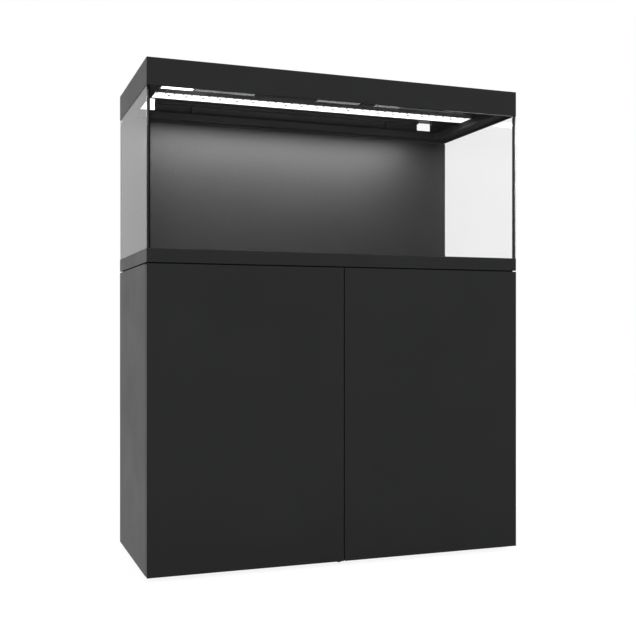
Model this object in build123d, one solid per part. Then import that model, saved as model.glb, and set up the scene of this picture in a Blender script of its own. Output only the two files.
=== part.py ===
from build123d import *
import math
import os

# Aquarium on a two-door cabinet, in millimetres. X runs to the right, Y to the back and Z up. The origin
# is on the floor under the middle of the object, and the front faces -Y.

# Overall size in plan
WIDTH = 1000.0
DEPTH = 420.0

# Cabinet boards
GLIDE_HEIGHT = 11.0
CABINET_HEIGHT = 742.0
BOARD = 18.0
EDGE_CHAMFER = 0.7
BACK_THICKNESS = 8.0
BACK_INSET = 14.0
GROOVE_DEPTH = 6.0
GROOVE_PLAY = 0.2
HOSE_PORT_WIDTH = 150.0
HOSE_PORT_HEIGHT = 240.0
HOSE_PORT_RADIUS = 25.0
HOSE_PORT_SIDE = 45.0
HOSE_PORT_TOP = 45.0

# Doors
DOOR_THICKNESS = 18.0
DOOR_GAP = 2.5
DOOR_SPLIT = 2.5

# Pivot hinges
PIVOT_INSET = 6.0
PIVOT_RADIUS = 2.0
PIVOT_PLAY = 0.05
PIVOT_LENGTH = 16.0
PIVOT_END_GAP = 0.5
LEAF_THICKNESS = 2.5
LEAF_WIDTH = 8.0
LEAF_TAIL = 10.0
LEAF_REACH = 36.0
LEAF_RUNNING_GAP = 0.5
MORTISE_PLAY = 0.1
POCKET_PLAY = 0.9
BUSH_RADIUS = 3.6
BUSH_END = 2.5

# Push latches, strikes and bumpers
LATCH_X = 32.0
LATCH_DROP = 9.5
LATCH_RADIUS = 6.5
LATCH_LENGTH = 68.0
LATCH_SETBACK = 1.0
LATCH_PLATE = 3.0
LATCH_PLATE_WIDTH = 30.0
PLUNGER_RADIUS = 4.0
PLUNGER_PLAY = 0.08
PLUNGER_LENGTH = 60.0
PLUNGER_GAP = 0.4
PLUNGER_TRAVEL_ROOM = 3.0
STRIKE_WIDTH = 16.0
STRIKE_HEIGHT = 26.0
STRIKE_THICKNESS = 1.5
BUMPER_RADIUS = 4.0
BUMPER_THICKNESS = 1.8
BUMPER_X = 62.0

# Corner blocks inside the carcass
BLOCK_LEG = 20.0
BLOCK_NOSE = 5.0
BLOCK_LENGTH = 40.0
BLOCK_Y = 80.0

# Shelf and its pins
SHELF_THICKNESS = 16.0
SHELF_LEVEL = 300.0
SHELF_END_GAP = 1.0
SHELF_FRONT_INSET = 25.0
SHELF_BACK_GAP = 3.0
SHELF_PIN_RADIUS = 2.5
SHELF_PIN_LENGTH = 8.0
SHELF_HOLE_DEPTH = 8.0
SHELF_PIN_INSET = 55.0

# Glides
GLIDE_RADIUS = 8.0
GLIDE_FROM_FRONT = 40.0
CORNER_GLIDE_FROM_FRONT = 60.0
CORNER_GLIDE_INSET = 15.0

# Tank
MAT_THICKNESS = 3.0
MAT_INSET = 7.0
BASE_FRAME_HEIGHT = 33.0
BASE_FLANGE = 4.0
BASE_FLANGE_WIDTH = 32.0
BASE_CROSS_BAR = 44.0
FRAME_CORNER_RADIUS = 1.5
FRAME_EDGE_CHAMFER = 0.6
GLASS_INSET = 1.0
GLASS = 6.0
GLASS_ARRIS = 0.5
PANE_HEIGHT = 413.0
SEAM_LEG = 2.5
BACKGROUND_THICKNESS = 10.0
BACKGROUND_BOND = 0.3
BACKGROUND_TOP_GAP = 3.0
LEDGE_REACH = 41.0
RAIL_INSET = 3.0
RAIL_FOOT = 8.0
RAIL_WIDTH = 25.0
RAIL_HEIGHT = 20.0
RAIL_CORNER_CHAMFER = 5.0
RAIL_EDGE_CHAMFER = 1.5

# Light bar
BAR_WIDTH = 62.0
BAR_END_INSET = 22.0
BAR_WALL = 1.5
BAR_CHANNEL = 5.5
BAR_PLATE = 2.5
BAR_FINS = 9
BAR_FIN_HEIGHT = 2.5
BAR_FIN_THICKNESS = 1.8
BAR_COVER = 2.0
BOARD_WIDTH = 50.0
BOARD_THICKNESS = 1.6
CAP_LENGTH = 16.0
CAP_PROUD = 1.5
CAP_CHAMFER = 2.0
NOTCH_PITCH = 22.65
NOTCH_DEPTH = 11.0
NOTCH_WIDTH = 6.0
NOTCHES_PER_LED = 2
LED_SIZE = 5.0
LED_HEIGHT = 1.0
LED_FROM_EDGE = 11.0
GLAND_RADIUS = 4.5
GLAND_LENGTH = 14.0
GLAND_BORE_RADIUS = 2.3

# Hood
HOOD_HEIGHT = 65.5
HOOD_GAP = 0.5
HOOD_WALL = 2.5
HOOD_REST_GAP = 0.4
SEAT_WIDTH = 12.0
SEAT_HEIGHT = 6.0
REST_RIB_THICKNESS = 4.0
REST_RIB_DEPTH = 14.0
REST_RIB_X = 300.0
REST_RIB_Y = 120.0
DECK_THICKNESS = 6.0
DECK_PLAY = 0.2
REAR_PORT_FROM_SIDE = 50.0
REAR_PORT_WIDTH = 45.0
REAR_PORT_HEIGHT = 23.0
REAR_PORT_LEVEL = 36.0
REAR_NOTCH_DEPTH = 28.0

# Hood covers
OPENING_REAR = 290.0
OPENING_DEPTH = 200.0
FEED_START = 83.0
FEED_LENGTH = 258.0
MIDDLE_START = 517.0
MIDDLE_LENGTH = 133.0
RIGHT_START = 692.0
RIGHT_LENGTH = 290.0
COVER_LAP = 6.0
COVER_PLAY = 0.5
COVER_LIFT = 0.3
COVER_THICKNESS = 2.7
FEED_COVER_OPEN = 95.0
FEED_COVER_TRAVEL = 60.0
FEED_TONGUE = 1.2
FEED_LIP = 4.0
FINGER_RADIUS = 11.0
FINGER_SLOT_LENGTH = 60.0
FINGER_SLOT_WIDTH = 16.0
FINGER_SLOT_DEPTH = 1.2
FINGER_SLOT_INSET = 30.0
FLAP_BARREL_RADIUS = 2.6
FLAP_ROD_RADIUS = 1.5
FLAP_ROD_PLAY = 0.06
FLAP_ROD_BITE = 8.0
FLAP_AXIS_INSET = 4.2
FLAP_SHOULDER = 4.0

# Cutters run this far past the face that they open
PAST = 1.0

# Faces and levels that several pieces share
left = -WIDTH / 2
front = -DEPTH / 2
rear = DEPTH / 2
door_back = front + DOOR_THICKNESS
carcass_front = door_back + DOOR_GAP
side_inner = WIDTH / 2 - BOARD
back_rear = rear - BACK_INSET
back_front = back_rear - BACK_THICKNESS
cabinet_bottom = GLIDE_HEIGHT
cabinet_top = cabinet_bottom + CABINET_HEIGHT
cabinet_middle = (cabinet_bottom + cabinet_top) / 2
bay_bottom = cabinet_bottom + BOARD
bay_top = cabinet_top - BOARD
tank_bottom = cabinet_top + MAT_THICKNESS
pane_bottom = tank_bottom + BASE_FLANGE
pane_top = pane_bottom + PANE_HEIGHT
glass_x = WIDTH / 2 - GLASS_INSET
glass_y = DEPTH / 2 - GLASS_INSET
inner_x = glass_x - GLASS
inner_y = glass_y - GLASS
water_floor = pane_bottom + GLASS
background_front = inner_y - BACKGROUND_THICKNESS
rail_bottom = pane_top + RAIL_FOOT
rail_top = rail_bottom + RAIL_HEIGHT
hood_bottom = pane_top + HOOD_GAP
hood_top = hood_bottom + HOOD_HEIGHT
deck_bottom = hood_top - DECK_THICKNESS
cover_bottom = hood_top - COVER_THICKNESS
rebate_bottom = cover_bottom - COVER_LIFT


def block(x, y, z):
    """A box between two values along each axis."""
    middle = Pos((x[0] + x[1]) / 2, (y[0] + y[1]) / 2, (z[0] + z[1]) / 2)
    return middle * Box(x[1] - x[0], y[1] - y[0], z[1] - z[0])


def patch(x, y):
    """A rectangle between two values along X and Y."""
    return Pos((x[0] + x[1]) / 2, (y[0] + y[1]) / 2) * Rectangle(x[1] - x[0], y[1] - y[0])


def prism(face, z):
    """A face in plan, raised between two levels."""
    return extrude(Pos(0, 0, z[0]) * face, z[1] - z[0])


def other_side(shape):
    """The same piece on the right-hand side."""
    return mirror(shape, about=Plane.YZ)


def sides(shape):
    """A left-hand piece and its right-hand twin."""
    return [shape, other_side(shape)]


def ends(shape):
    """A piece at the cabinet's top and its twin at the bottom."""
    return [shape, mirror(shape, about=Plane.XY.offset(cabinet_middle))]


def corners(shape):
    """A piece at the top left of the cabinet and its twins at the other three corners."""
    return [copy for end in ends(shape) for copy in sides(end)]


def save(node, shapes):
    """Write one node, as one solid or as a group of separate solids."""
    solids = [solid for shape in shapes for solid in shape.solids()]
    whole = solids[0] if len(solids) == 1 else Compound(solids)
    export_step(whole, f"parts/{node}.step")


os.makedirs("parts", exist_ok=True)
along_x = Rot(0, 90, 0)
along_y = Rot(-90, 0, 0)

# Pivot hinges: a steel leaf sunk into the carcass edge carries a pin that stands inside the door's edge
pivot_x = left + PIVOT_INSET
pivot_y = front + PIVOT_INSET
leaf_side = pivot_x - LEAF_WIDTH / 2
leaf_end = -side_inner + LEAF_REACH
leaf_back = carcass_front + LEAF_TAIL
leaf_bottom = cabinet_top - LEAF_THICKNESS
leaf_arm = patch((leaf_side, pivot_x + LEAF_WIDTH / 2), (pivot_y, leaf_back))
leaf_tail = patch((leaf_side, leaf_end), (carcass_front, leaf_back))
leaf_nose = Pos(pivot_x, pivot_y) * Circle(LEAF_WIDTH / 2)
pivot_hole = Pos(pivot_x, pivot_y) * Circle(PIVOT_RADIUS)
leaf = prism(leaf_arm + leaf_tail + leaf_nose - pivot_hole, (leaf_bottom, cabinet_top))
pivot_bottom = cabinet_top - PIVOT_LENGTH
pivot_pin = prism(pivot_hole, (pivot_bottom, cabinet_top))
leaf_mortise = block(
    (leaf_side - MORTISE_PLAY, leaf_end + MORTISE_PLAY),
    (carcass_front - PAST, leaf_back + MORTISE_PLAY),
    (leaf_bottom, cabinet_top + PAST),
)

save("hinge_leaves", corners(leaf))
save("hinge_pins", corners(pivot_pin))
leaf_cuts = corners(leaf_mortise)

# Push latches under the top panel, with a plunger that rests just off the door's strike
latch_front = carcass_front + LATCH_SETBACK
latch_back = latch_front + LATCH_LENGTH
latch_level = bay_top - LATCH_DROP
latch_axis = Pos(-LATCH_X, 0, latch_level)
plunger_front = door_back + STRIKE_THICKNESS + PLUNGER_GAP
plunger_back = plunger_front + PLUNGER_LENGTH
latch_bore_end = plunger_back + PLUNGER_TRAVEL_ROOM


def rod_along_y(radius, start, end):
    """A round rod on the latch's axis."""
    return latch_axis * Pos(0, (start + end) / 2, 0) * along_y * Cylinder(radius, end - start)


latch_plate = block(
    (-LATCH_X - LATCH_PLATE_WIDTH / 2, -LATCH_X + LATCH_PLATE_WIDTH / 2),
    (latch_front, latch_back),
    (bay_top - LATCH_PLATE, bay_top),
)
latch_neck = block(
    (-LATCH_X - LATCH_RADIUS, -LATCH_X + LATCH_RADIUS), (latch_front, latch_back), (latch_level, bay_top)
)
latch_barrel = rod_along_y(LATCH_RADIUS, latch_front, latch_back)
latch_bore = rod_along_y(PLUNGER_RADIUS + PLUNGER_PLAY, latch_front - PAST, latch_bore_end)
latch = latch_plate + latch_neck + latch_barrel - latch_bore
plunger = rod_along_y(PLUNGER_RADIUS, plunger_front, plunger_back)

save("push_latches", sides(latch))
save("plunger_left", [plunger])
save("plunger_right", [other_side(plunger)])

# Doors with softened edges, sunk pockets for the hinge leaves, bushes and strikes
pocket_floor = leaf_bottom - LEAF_RUNNING_GAP
bush_bottom = pivot_bottom - PIVOT_END_GAP - BUSH_END
bush_outline = Pos(pivot_x, pivot_y) * Circle(BUSH_RADIUS)
bush_bore = Pos(pivot_x, pivot_y) * Circle(PIVOT_RADIUS + PIVOT_PLAY)
bush_body = prism(bush_outline, (bush_bottom, pocket_floor))
bush = bush_body - prism(bush_bore, (pivot_bottom - PIVOT_END_GAP, pocket_floor + PAST))
leaf_pocket = block(
    (left - PAST, pivot_x + LEAF_WIDTH / 2 + POCKET_PLAY),
    (pivot_y - LEAF_WIDTH / 2 - POCKET_PLAY, door_back + PAST),
    (pocket_floor, cabinet_top + PAST),
)
door_slab = block((left, -DOOR_SPLIT / 2), (front, door_back), (cabinet_bottom, cabinet_top))
door = chamfer(door_slab.edges(), EDGE_CHAMFER) - ends(leaf_pocket) - ends(bush_body)
strike = block(
    (-LATCH_X - STRIKE_WIDTH / 2, -LATCH_X + STRIKE_WIDTH / 2),
    (door_back, door_back + STRIKE_THICKNESS),
    (latch_level - STRIKE_HEIGHT / 2, latch_level + STRIKE_HEIGHT / 2),
)

save("door_left", [door])
save("door_right", [other_side(door)])
save("hinge_bushes_left", ends(bush))
save("hinge_bushes_right", [other_side(copy) for copy in ends(bush)])
save("strike_left", [strike])
save("strike_right", [other_side(strike)])

# Corner blocks that join the floor and top panel to the sides and to the divider
divider_face = BOARD / 2
block_outline = Polyline(
    (0, 0), (BLOCK_LEG, 0), (BLOCK_LEG, -BLOCK_NOSE), (BLOCK_NOSE, -BLOCK_LEG), (0, -BLOCK_LEG), close=True
)
block_plane = Plane.XZ.offset(BLOCK_Y - BLOCK_LENGTH / 2)
corner_block = extrude(block_plane * make_face(block_outline), BLOCK_LENGTH)
block_places = [Pos(-side_inner, 0, bay_top), Pos(-divider_face, 0, bay_top) * Rot(0, 0, 180)]
front_blocks = [copy for place in block_places for copy in corners(place * corner_block)]
save("corner_blocks", front_blocks + [mirror(copy, about=Plane.XZ) for copy in front_blocks])

# Glides under the floor panel, at its corners and at the middle of its long edges
glide = prism(Circle(GLIDE_RADIUS), (0, GLIDE_HEIGHT))
corner_glide = Pos(CORNER_GLIDE_INSET - side_inner, CORNER_GLIDE_FROM_FRONT + front) * glide
front_glides = sides(corner_glide) + [Pos(0, GLIDE_FROM_FRONT + front) * glide]
save("glides", front_glides + [mirror(copy, about=Plane.XZ) for copy in front_glides])

# Shelf in the right-hand bay on four pins
shelf_bottom = bay_bottom + SHELF_LEVEL
pin_level = shelf_bottom - SHELF_PIN_RADIUS
pin_front = carcass_front + SHELF_FRONT_INSET + SHELF_PIN_INSET
pin_back = back_front - SHELF_BACK_GAP - SHELF_PIN_INSET
shelf_pin = along_x * Cylinder(SHELF_PIN_RADIUS, SHELF_PIN_LENGTH + SHELF_HOLE_DEPTH)
pin_offset = (SHELF_PIN_LENGTH - SHELF_HOLE_DEPTH) / 2
shelf_pins = [
    Pos(x, y, pin_level) * shelf_pin
    for x in (divider_face + pin_offset, side_inner - pin_offset)
    for y in (pin_front, pin_back)
]
shelf = block(
    (divider_face + SHELF_END_GAP, side_inner - SHELF_END_GAP),
    (carcass_front + SHELF_FRONT_INSET, back_front - SHELF_BACK_GAP),
    (shelf_bottom, shelf_bottom + SHELF_THICKNESS),
)
save("shelf", [chamfer(shelf.edges().filter_by(Axis.X), EDGE_CHAMFER)])
save("shelf_pins", shelf_pins)

# Carcass boards, with the back panel let into grooves on all four sides
groove_x = side_inner + GROOVE_DEPTH
groove_bottom = bay_bottom - GROOVE_DEPTH
groove_top = bay_top + GROOVE_DEPTH
back_groove = block(
    (-groove_x, groove_x),
    (back_front - GROOVE_PLAY, back_rear + GROOVE_PLAY),
    (groove_bottom, groove_top),
)
side_panel = block((left, -side_inner), (carcass_front, rear), (cabinet_bottom, cabinet_top))
side_panel = chamfer(side_panel.faces().sort_by(Axis.X)[0].edges(), EDGE_CHAMFER)
board_cuts = [back_groove] + leaf_cuts
floor_panel = block((-side_inner, side_inner), (carcass_front, rear), (cabinet_bottom, bay_bottom))
top_panel = block((-side_inner, side_inner), (carcass_front, rear), (bay_top, cabinet_top))
divider = block((-divider_face, divider_face), (carcass_front, back_front), (bay_bottom, bay_top))
back_panel = block(
    (-groove_x + GROOVE_PLAY, groove_x - GROOVE_PLAY),
    (back_front, back_rear),
    (groove_bottom, groove_top - GROOVE_PLAY),
)
hose_port_x = -side_inner + HOSE_PORT_SIDE + HOSE_PORT_WIDTH / 2
hose_port_level = bay_top - HOSE_PORT_TOP - HOSE_PORT_HEIGHT / 2
hose_port_face = RectangleRounded(HOSE_PORT_WIDTH, HOSE_PORT_HEIGHT, HOSE_PORT_RADIUS)
hose_port_plane = Plane.XZ.offset(-back_rear - PAST)
hose_port = extrude(
    hose_port_plane * Pos(hose_port_x, hose_port_level) * hose_port_face, BACK_THICKNESS + 2 * PAST
)

save("side_panel_left", [side_panel - board_cuts])
save("side_panel_right", [other_side(side_panel) - board_cuts - shelf_pins])
save("floor_panel", [floor_panel - board_cuts])
save("top_panel", [top_panel - board_cuts])
save("centre_divider", [divider - shelf_pins])
save("back_panel", [back_panel - sides(hose_port)])

# Soft stops on the carcass front, behind the doors' free edges
bumper = Pos(-BUMPER_X, carcass_front - BUMPER_THICKNESS / 2, cabinet_top - BOARD / 2) * along_y
bumper = bumper * Cylinder(BUMPER_RADIUS, BUMPER_THICKNESS)
save("door_bumpers", corners(bumper))

# Mat and base frame under the tank
mat = prism(Rectangle(WIDTH - 2 * MAT_INSET, DEPTH - 2 * MAT_INSET), (cabinet_top, tank_bottom))
base_outline = RectangleRounded(WIDTH, DEPTH, FRAME_CORNER_RADIUS)
base_well = prism(Rectangle(2 * glass_x, 2 * glass_y), (pane_bottom, pane_bottom + BASE_FRAME_HEIGHT))
window_x = (BASE_CROSS_BAR / 2, WIDTH / 2 - BASE_FLANGE_WIDTH)
window_y = DEPTH / 2 - BASE_FLANGE_WIDTH
base_window = prism(patch(window_x, (-window_y, window_y)), (tank_bottom - PAST, pane_bottom + PAST))
base_body = prism(base_outline, (tank_bottom, tank_bottom + BASE_FRAME_HEIGHT))
base_body = chamfer(base_body.edges().group_by(Axis.Z)[-1], FRAME_EDGE_CHAMFER)
save("support_mat", [mat])
save("base_frame", [base_body - base_well - sides(base_window)])

# Glass: the side panes and the bottom pane stand between the front and back panes
front_pane = block((-glass_x, glass_x), (-glass_y, -inner_y), (pane_bottom, pane_top))
front_pane = chamfer(front_pane.faces().sort_by(Axis.Y)[0].edges(), GLASS_ARRIS)
left_pane = block((-glass_x, -inner_x), (-inner_y, inner_y), (pane_bottom, pane_top))
bottom_pane = block((-inner_x, inner_x), (-inner_y, inner_y), (pane_bottom, water_floor))
save("front_pane", [front_pane])
save("back_pane", [mirror(front_pane, about=Plane.XZ)])
save("left_pane", [left_pane])
save("right_pane", [other_side(left_pane)])
save("bottom_pane", [bottom_pane])

# Background panel, bonded to the back pane, and the sealing bead along every inner edge
background_top = pane_top - BACKGROUND_TOP_GAP
background_x = inner_x - BACKGROUND_BOND
background_y = (background_front, inner_y - BACKGROUND_BOND)
background = block((-background_x, background_x), background_y, (water_floor, background_top))
seam_arc = SEAM_LEG * (1 - math.sqrt(0.5))
seam_edges = Line((0, 0), (SEAM_LEG, 0))
seam_edges += ThreePointArc((SEAM_LEG, 0), (seam_arc, seam_arc), (0, SEAM_LEG))
seam_edges += Line((0, SEAM_LEG), (0, 0))
seam_face = make_face(seam_edges)
upright = prism(Pos(-inner_x, -inner_y) * seam_face, (water_floor, background_top))
rear_corner = Pos(-inner_x, background_front) * Rot(0, 0, -90)
upright_rear = prism(rear_corner * seam_face, (water_floor, background_top))
seam_x = Plane(origin=(-inner_x, -inner_y, water_floor), x_dir=(0, 1, 0), z_dir=(1, 0, 0))
seam_x_rear = Plane(origin=(inner_x, background_front, water_floor), x_dir=(0, -1, 0), z_dir=(-1, 0, 0))
seam_y = Plane(origin=(-inner_x, background_front, water_floor), x_dir=(1, 0, 0), z_dir=(0, -1, 0))
long_seam = extrude(seam_x * seam_face, 2 * inner_x)
long_seam_rear = extrude(seam_x_rear * seam_face, 2 * inner_x)
short_seam = extrude(seam_y * seam_face, inner_y + background_front)
seams = long_seam + long_seam_rear + sides(upright) + sides(upright_rear) + sides(short_seam)
save("background_panel", [background])
save("silicone_seams", [seams])

# Top frame on the panes: a narrow foot on the glass, and wide side ledges for the light bar
ledge_inner = WIDTH / 2 - LEDGE_REACH
rail_y = DEPTH / 2 - RAIL_INSET
rail_outline = Rectangle(WIDTH - 2 * RAIL_INSET, 2 * rail_y)
mouth = Rectangle(2 * ledge_inner, 2 * (rail_y - RAIL_WIDTH))
mouth = chamfer(mouth.vertices(), RAIL_CORNER_CHAMFER)
rail = prism(rail_outline - mouth, (rail_bottom, rail_top))
upper_edges = rail.faces().sort_by(Axis.Z)[-1].inner_wires()[0].edges()
lower_edges = rail.faces().sort_by(Axis.Z)[0].inner_wires()[0].edges()
rail_foot = prism(rail_outline - Rectangle(2 * inner_x, 2 * inner_y), (pane_top, rail_bottom))
save("top_frame", [chamfer(upper_edges + lower_edges, RAIL_EDGE_CHAMFER) + rail_foot])

# Light bar: finned extrusion between two end caps that stand on the ledges
bar_end = WIDTH / 2 - BAR_END_INSET
housing_end = bar_end - CAP_LENGTH
plate_bottom = rail_top + BAR_CHANNEL
plate_top = plate_bottom + BAR_PLATE
bar_top = plate_top + BAR_FIN_HEIGHT
half_bar = BAR_WIDTH / 2
fin_pitch = (BAR_WIDTH - BAR_FIN_THICKNESS) / (BAR_FINS - 1)
housing_face = patch((-half_bar, half_bar), (rail_top, plate_top))
housing_face -= patch((BAR_WALL - half_bar, half_bar - BAR_WALL), (rail_top, plate_bottom))
for index in range(BAR_FINS):
    fin_start = -half_bar + index * fin_pitch
    housing_face += patch((fin_start, fin_start + BAR_FIN_THICKNESS), (plate_top, bar_top))
housing = extrude(Plane.YZ * housing_face, housing_end, both=True)
board = block(
    (-housing_end, housing_end),
    (-BOARD_WIDTH / 2, BOARD_WIDTH / 2),
    (plate_bottom - BOARD_THICKNESS, plate_bottom),
)
cover_half = half_bar - BAR_WALL
half_notch = NOTCH_WIDTH / 2
notch_outline = Polyline(
    (-half_notch, -PAST), (half_notch, -PAST), (half_notch, 0), (0, NOTCH_DEPTH), (-half_notch, 0), close=True
)
notch = Pos(0, -cover_half) * make_face(notch_outline)
notch_count = int(2 * housing_end / NOTCH_PITCH)
notch_start = -(notch_count - 1) * NOTCH_PITCH / 2
notch_places = [notch_start + index * NOTCH_PITCH for index in range(notch_count)]
cover_face = patch((-housing_end, housing_end), (-cover_half, cover_half))
cover_face -= [Pos(x, 0) * notch for x in notch_places]
cover = prism(cover_face, (rail_top, rail_top + BAR_COVER))
board_face = plate_bottom - BOARD_THICKNESS
led = Pos(0, LED_FROM_EDGE - half_bar, board_face - LED_HEIGHT / 2) * Box(LED_SIZE, LED_SIZE, LED_HEIGHT)
cap_block = block(
    (-bar_end, -housing_end),
    (-half_bar - CAP_PROUD, half_bar + CAP_PROUD),
    (rail_top, bar_top + CAP_PROUD),
)
cap = chamfer(cap_block.edges().filter_by(Axis.Z), CAP_CHAMFER)
gland_ring = Circle(GLAND_RADIUS) - Circle(GLAND_BORE_RADIUS)
gland = prism(gland_ring, (0, GLAND_LENGTH))
gland_place = Pos(-(bar_end + housing_end) / 2, half_bar + CAP_PROUD, (rail_top + bar_top) / 2)
save("light_housing", [housing])
save("led_board", [board])
save("light_cover", [cover])
save("leds", [Pos(x + NOTCH_PITCH / 2, 0, 0) * led for x in notch_places[:-1:NOTCHES_PER_LED]])
save("light_end_caps", sides(cap))
save("cable_gland", [gland_place * along_y * gland])

# Hood frame: fascia ring with a seat for the deck and ribs that stand over the top frame
hood_inner_x = WIDTH / 2 - HOOD_WALL
hood_inner_y = DEPTH / 2 - HOOD_WALL
seat_bottom = deck_bottom - SEAT_HEIGHT
rest_level = rail_top + HOOD_REST_GAP
hood_body = prism(RectangleRounded(WIDTH, DEPTH, FRAME_CORNER_RADIUS), (hood_bottom, hood_top))
hood_body = chamfer(hood_body.edges().group_by(Axis.Z)[-1], FRAME_EDGE_CHAMFER)
hood_room = prism(Rectangle(2 * hood_inner_x, 2 * hood_inner_y), (hood_bottom - PAST, hood_top + PAST))
seat_hole = Rectangle(2 * (hood_inner_x - SEAT_WIDTH), 2 * (hood_inner_y - SEAT_WIDTH))
seat = prism(Rectangle(2 * hood_inner_x, 2 * hood_inner_y) - seat_hole, (seat_bottom, deck_bottom))
half_rib = REST_RIB_THICKNESS / 2
rib_front = block(
    (-REST_RIB_X - half_rib, -REST_RIB_X + half_rib),
    (-hood_inner_y, -hood_inner_y + REST_RIB_DEPTH),
    (rest_level, seat_bottom),
)
rib_side = block(
    (-hood_inner_x, -hood_inner_x + REST_RIB_DEPTH),
    (-REST_RIB_Y - half_rib, -REST_RIB_Y + half_rib),
    (rest_level, seat_bottom),
)
ribs = [copy for rib in (rib_front, rib_side) for copy in sides(rib) + sides(mirror(rib, about=Plane.XZ))]
port_left = (left + REAR_PORT_FROM_SIDE, left + REAR_PORT_FROM_SIDE + REAR_PORT_WIDTH)
port_bottom = hood_bottom + REAR_PORT_LEVEL
port_y = (hood_inner_y - SEAT_WIDTH - PAST, rear + PAST)
port_open = block(port_left, port_y, (port_bottom, hood_top + PAST))
port_closed = other_side(block(port_left, port_y, (port_bottom, port_bottom + REAR_PORT_HEIGHT)))
save("hood_frame", [hood_body - hood_room + seat + ribs - port_open - port_closed])

# Hood deck: a plate with a channel for the sliding feed cover and rebates for two hinged flaps
deck_x = hood_inner_x - DECK_PLAY
deck_y = hood_inner_y - DECK_PLAY
opening_y = (front + OPENING_REAR - OPENING_DEPTH, front + OPENING_REAR)
through = (deck_bottom - PAST, hood_top + PAST)
feed_x = (left + FEED_START, left + FEED_START + FEED_LENGTH)
tongue_top = cover_bottom + FEED_TONGUE
channel_start = feed_x[0] - COVER_LAP - COVER_PLAY
channel_end = feed_x[1] + COVER_LAP + FEED_COVER_OPEN + FEED_COVER_TRAVEL + COVER_PLAY
channel_x = (channel_start, channel_end)
lap_y = (opening_y[0] - COVER_LAP, opening_y[1] + COVER_LAP)
lip_y = (lap_y[0] + FEED_LIP, lap_y[1] - FEED_LIP)
channel = block(channel_x, lap_y, (rebate_bottom, tongue_top + COVER_LIFT))
channel += block(channel_x, lip_y, (rebate_bottom, hood_top + PAST))
deck_cuts = [block(feed_x, opening_y, through), channel]
rear_notch = block(port_left, (hood_inner_y - REAR_NOTCH_DEPTH, rear), through)
deck_cuts.append(rear_notch)


def flap_set(start, length):
    """A hinged flap, its hinge rod and the cut that the deck gets for it."""
    x = (left + start, left + start + length)
    middle = (x[0] + x[1]) / 2
    axis_y = opening_y[1] - FLAP_AXIS_INSET
    axis_z = hood_top - DECK_THICKNESS / 2
    shoulder = axis_y - FLAP_SHOULDER
    swing = math.hypot(FLAP_SHOULDER + COVER_PLAY, hood_top - axis_z)
    on_axis = Pos(middle, axis_y, axis_z) * along_x
    rebate_x = (x[0] - COVER_LAP, x[1] + COVER_LAP)
    rebate = block(rebate_x, (lap_y[0], shoulder), (rebate_bottom, hood_top + PAST))
    rod = on_axis * Cylinder(FLAP_ROD_RADIUS, length + 2 * FLAP_ROD_BITE)
    cuts = [block(x, opening_y, through), rebate, rod]
    lap = COVER_LAP - COVER_PLAY
    plate_y = (lap_y[0] + COVER_PLAY, axis_y - swing)
    plate = block((x[0] - lap, x[1] + lap), plate_y, (cover_bottom, hood_top))
    neck = block((x[0] + COVER_PLAY, x[1] - COVER_PLAY), (opening_y[0], axis_y), (cover_bottom, hood_top))
    barrel = on_axis * Cylinder(FLAP_BARREL_RADIUS, length - 2 * COVER_PLAY)
    bore = on_axis * Cylinder(FLAP_ROD_RADIUS + FLAP_ROD_PLAY, length)
    finger = prism(Pos(middle, lap_y[0] + COVER_PLAY) * Circle(FINGER_RADIUS), through)
    return plate + neck + barrel - bore - finger, rod, cuts


middle_flap, middle_rod, middle_cuts = flap_set(MIDDLE_START, MIDDLE_LENGTH)
right_flap, right_rod, right_cuts = flap_set(RIGHT_START, RIGHT_LENGTH)
deck = block((-deck_x, deck_x), (-deck_y, deck_y), (deck_bottom, hood_top))
save("hood_deck", [deck - deck_cuts - middle_cuts - right_cuts])
save("middle_flap", [middle_flap])
save("right_flap", [right_flap])
save("flap_rods", [middle_rod, right_rod])

# Feed cover: smoked plate on two tongues, drawn to the right as far as the photograph shows
cover_x = (feed_x[0] - COVER_LAP + FEED_COVER_OPEN, feed_x[1] + COVER_LAP + FEED_COVER_OPEN)
tongue = block(cover_x, (lap_y[0] + COVER_PLAY, lap_y[1] - COVER_PLAY), (cover_bottom, tongue_top))
cover_top = block(cover_x, (lip_y[0] + COVER_PLAY, lip_y[1] - COVER_PLAY), (tongue_top, hood_top))
finger_face = SlotOverall(FINGER_SLOT_LENGTH, FINGER_SLOT_WIDTH, rotation=90)
finger_place = Pos(cover_x[0] + FINGER_SLOT_INSET, (opening_y[0] + opening_y[1]) / 2)
finger_slot = prism(finger_place * finger_face, (hood_top - FINGER_SLOT_DEPTH, hood_top + PAST))
save("feed_cover", [tongue + cover_top - finger_slot])
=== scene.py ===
import math

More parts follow.
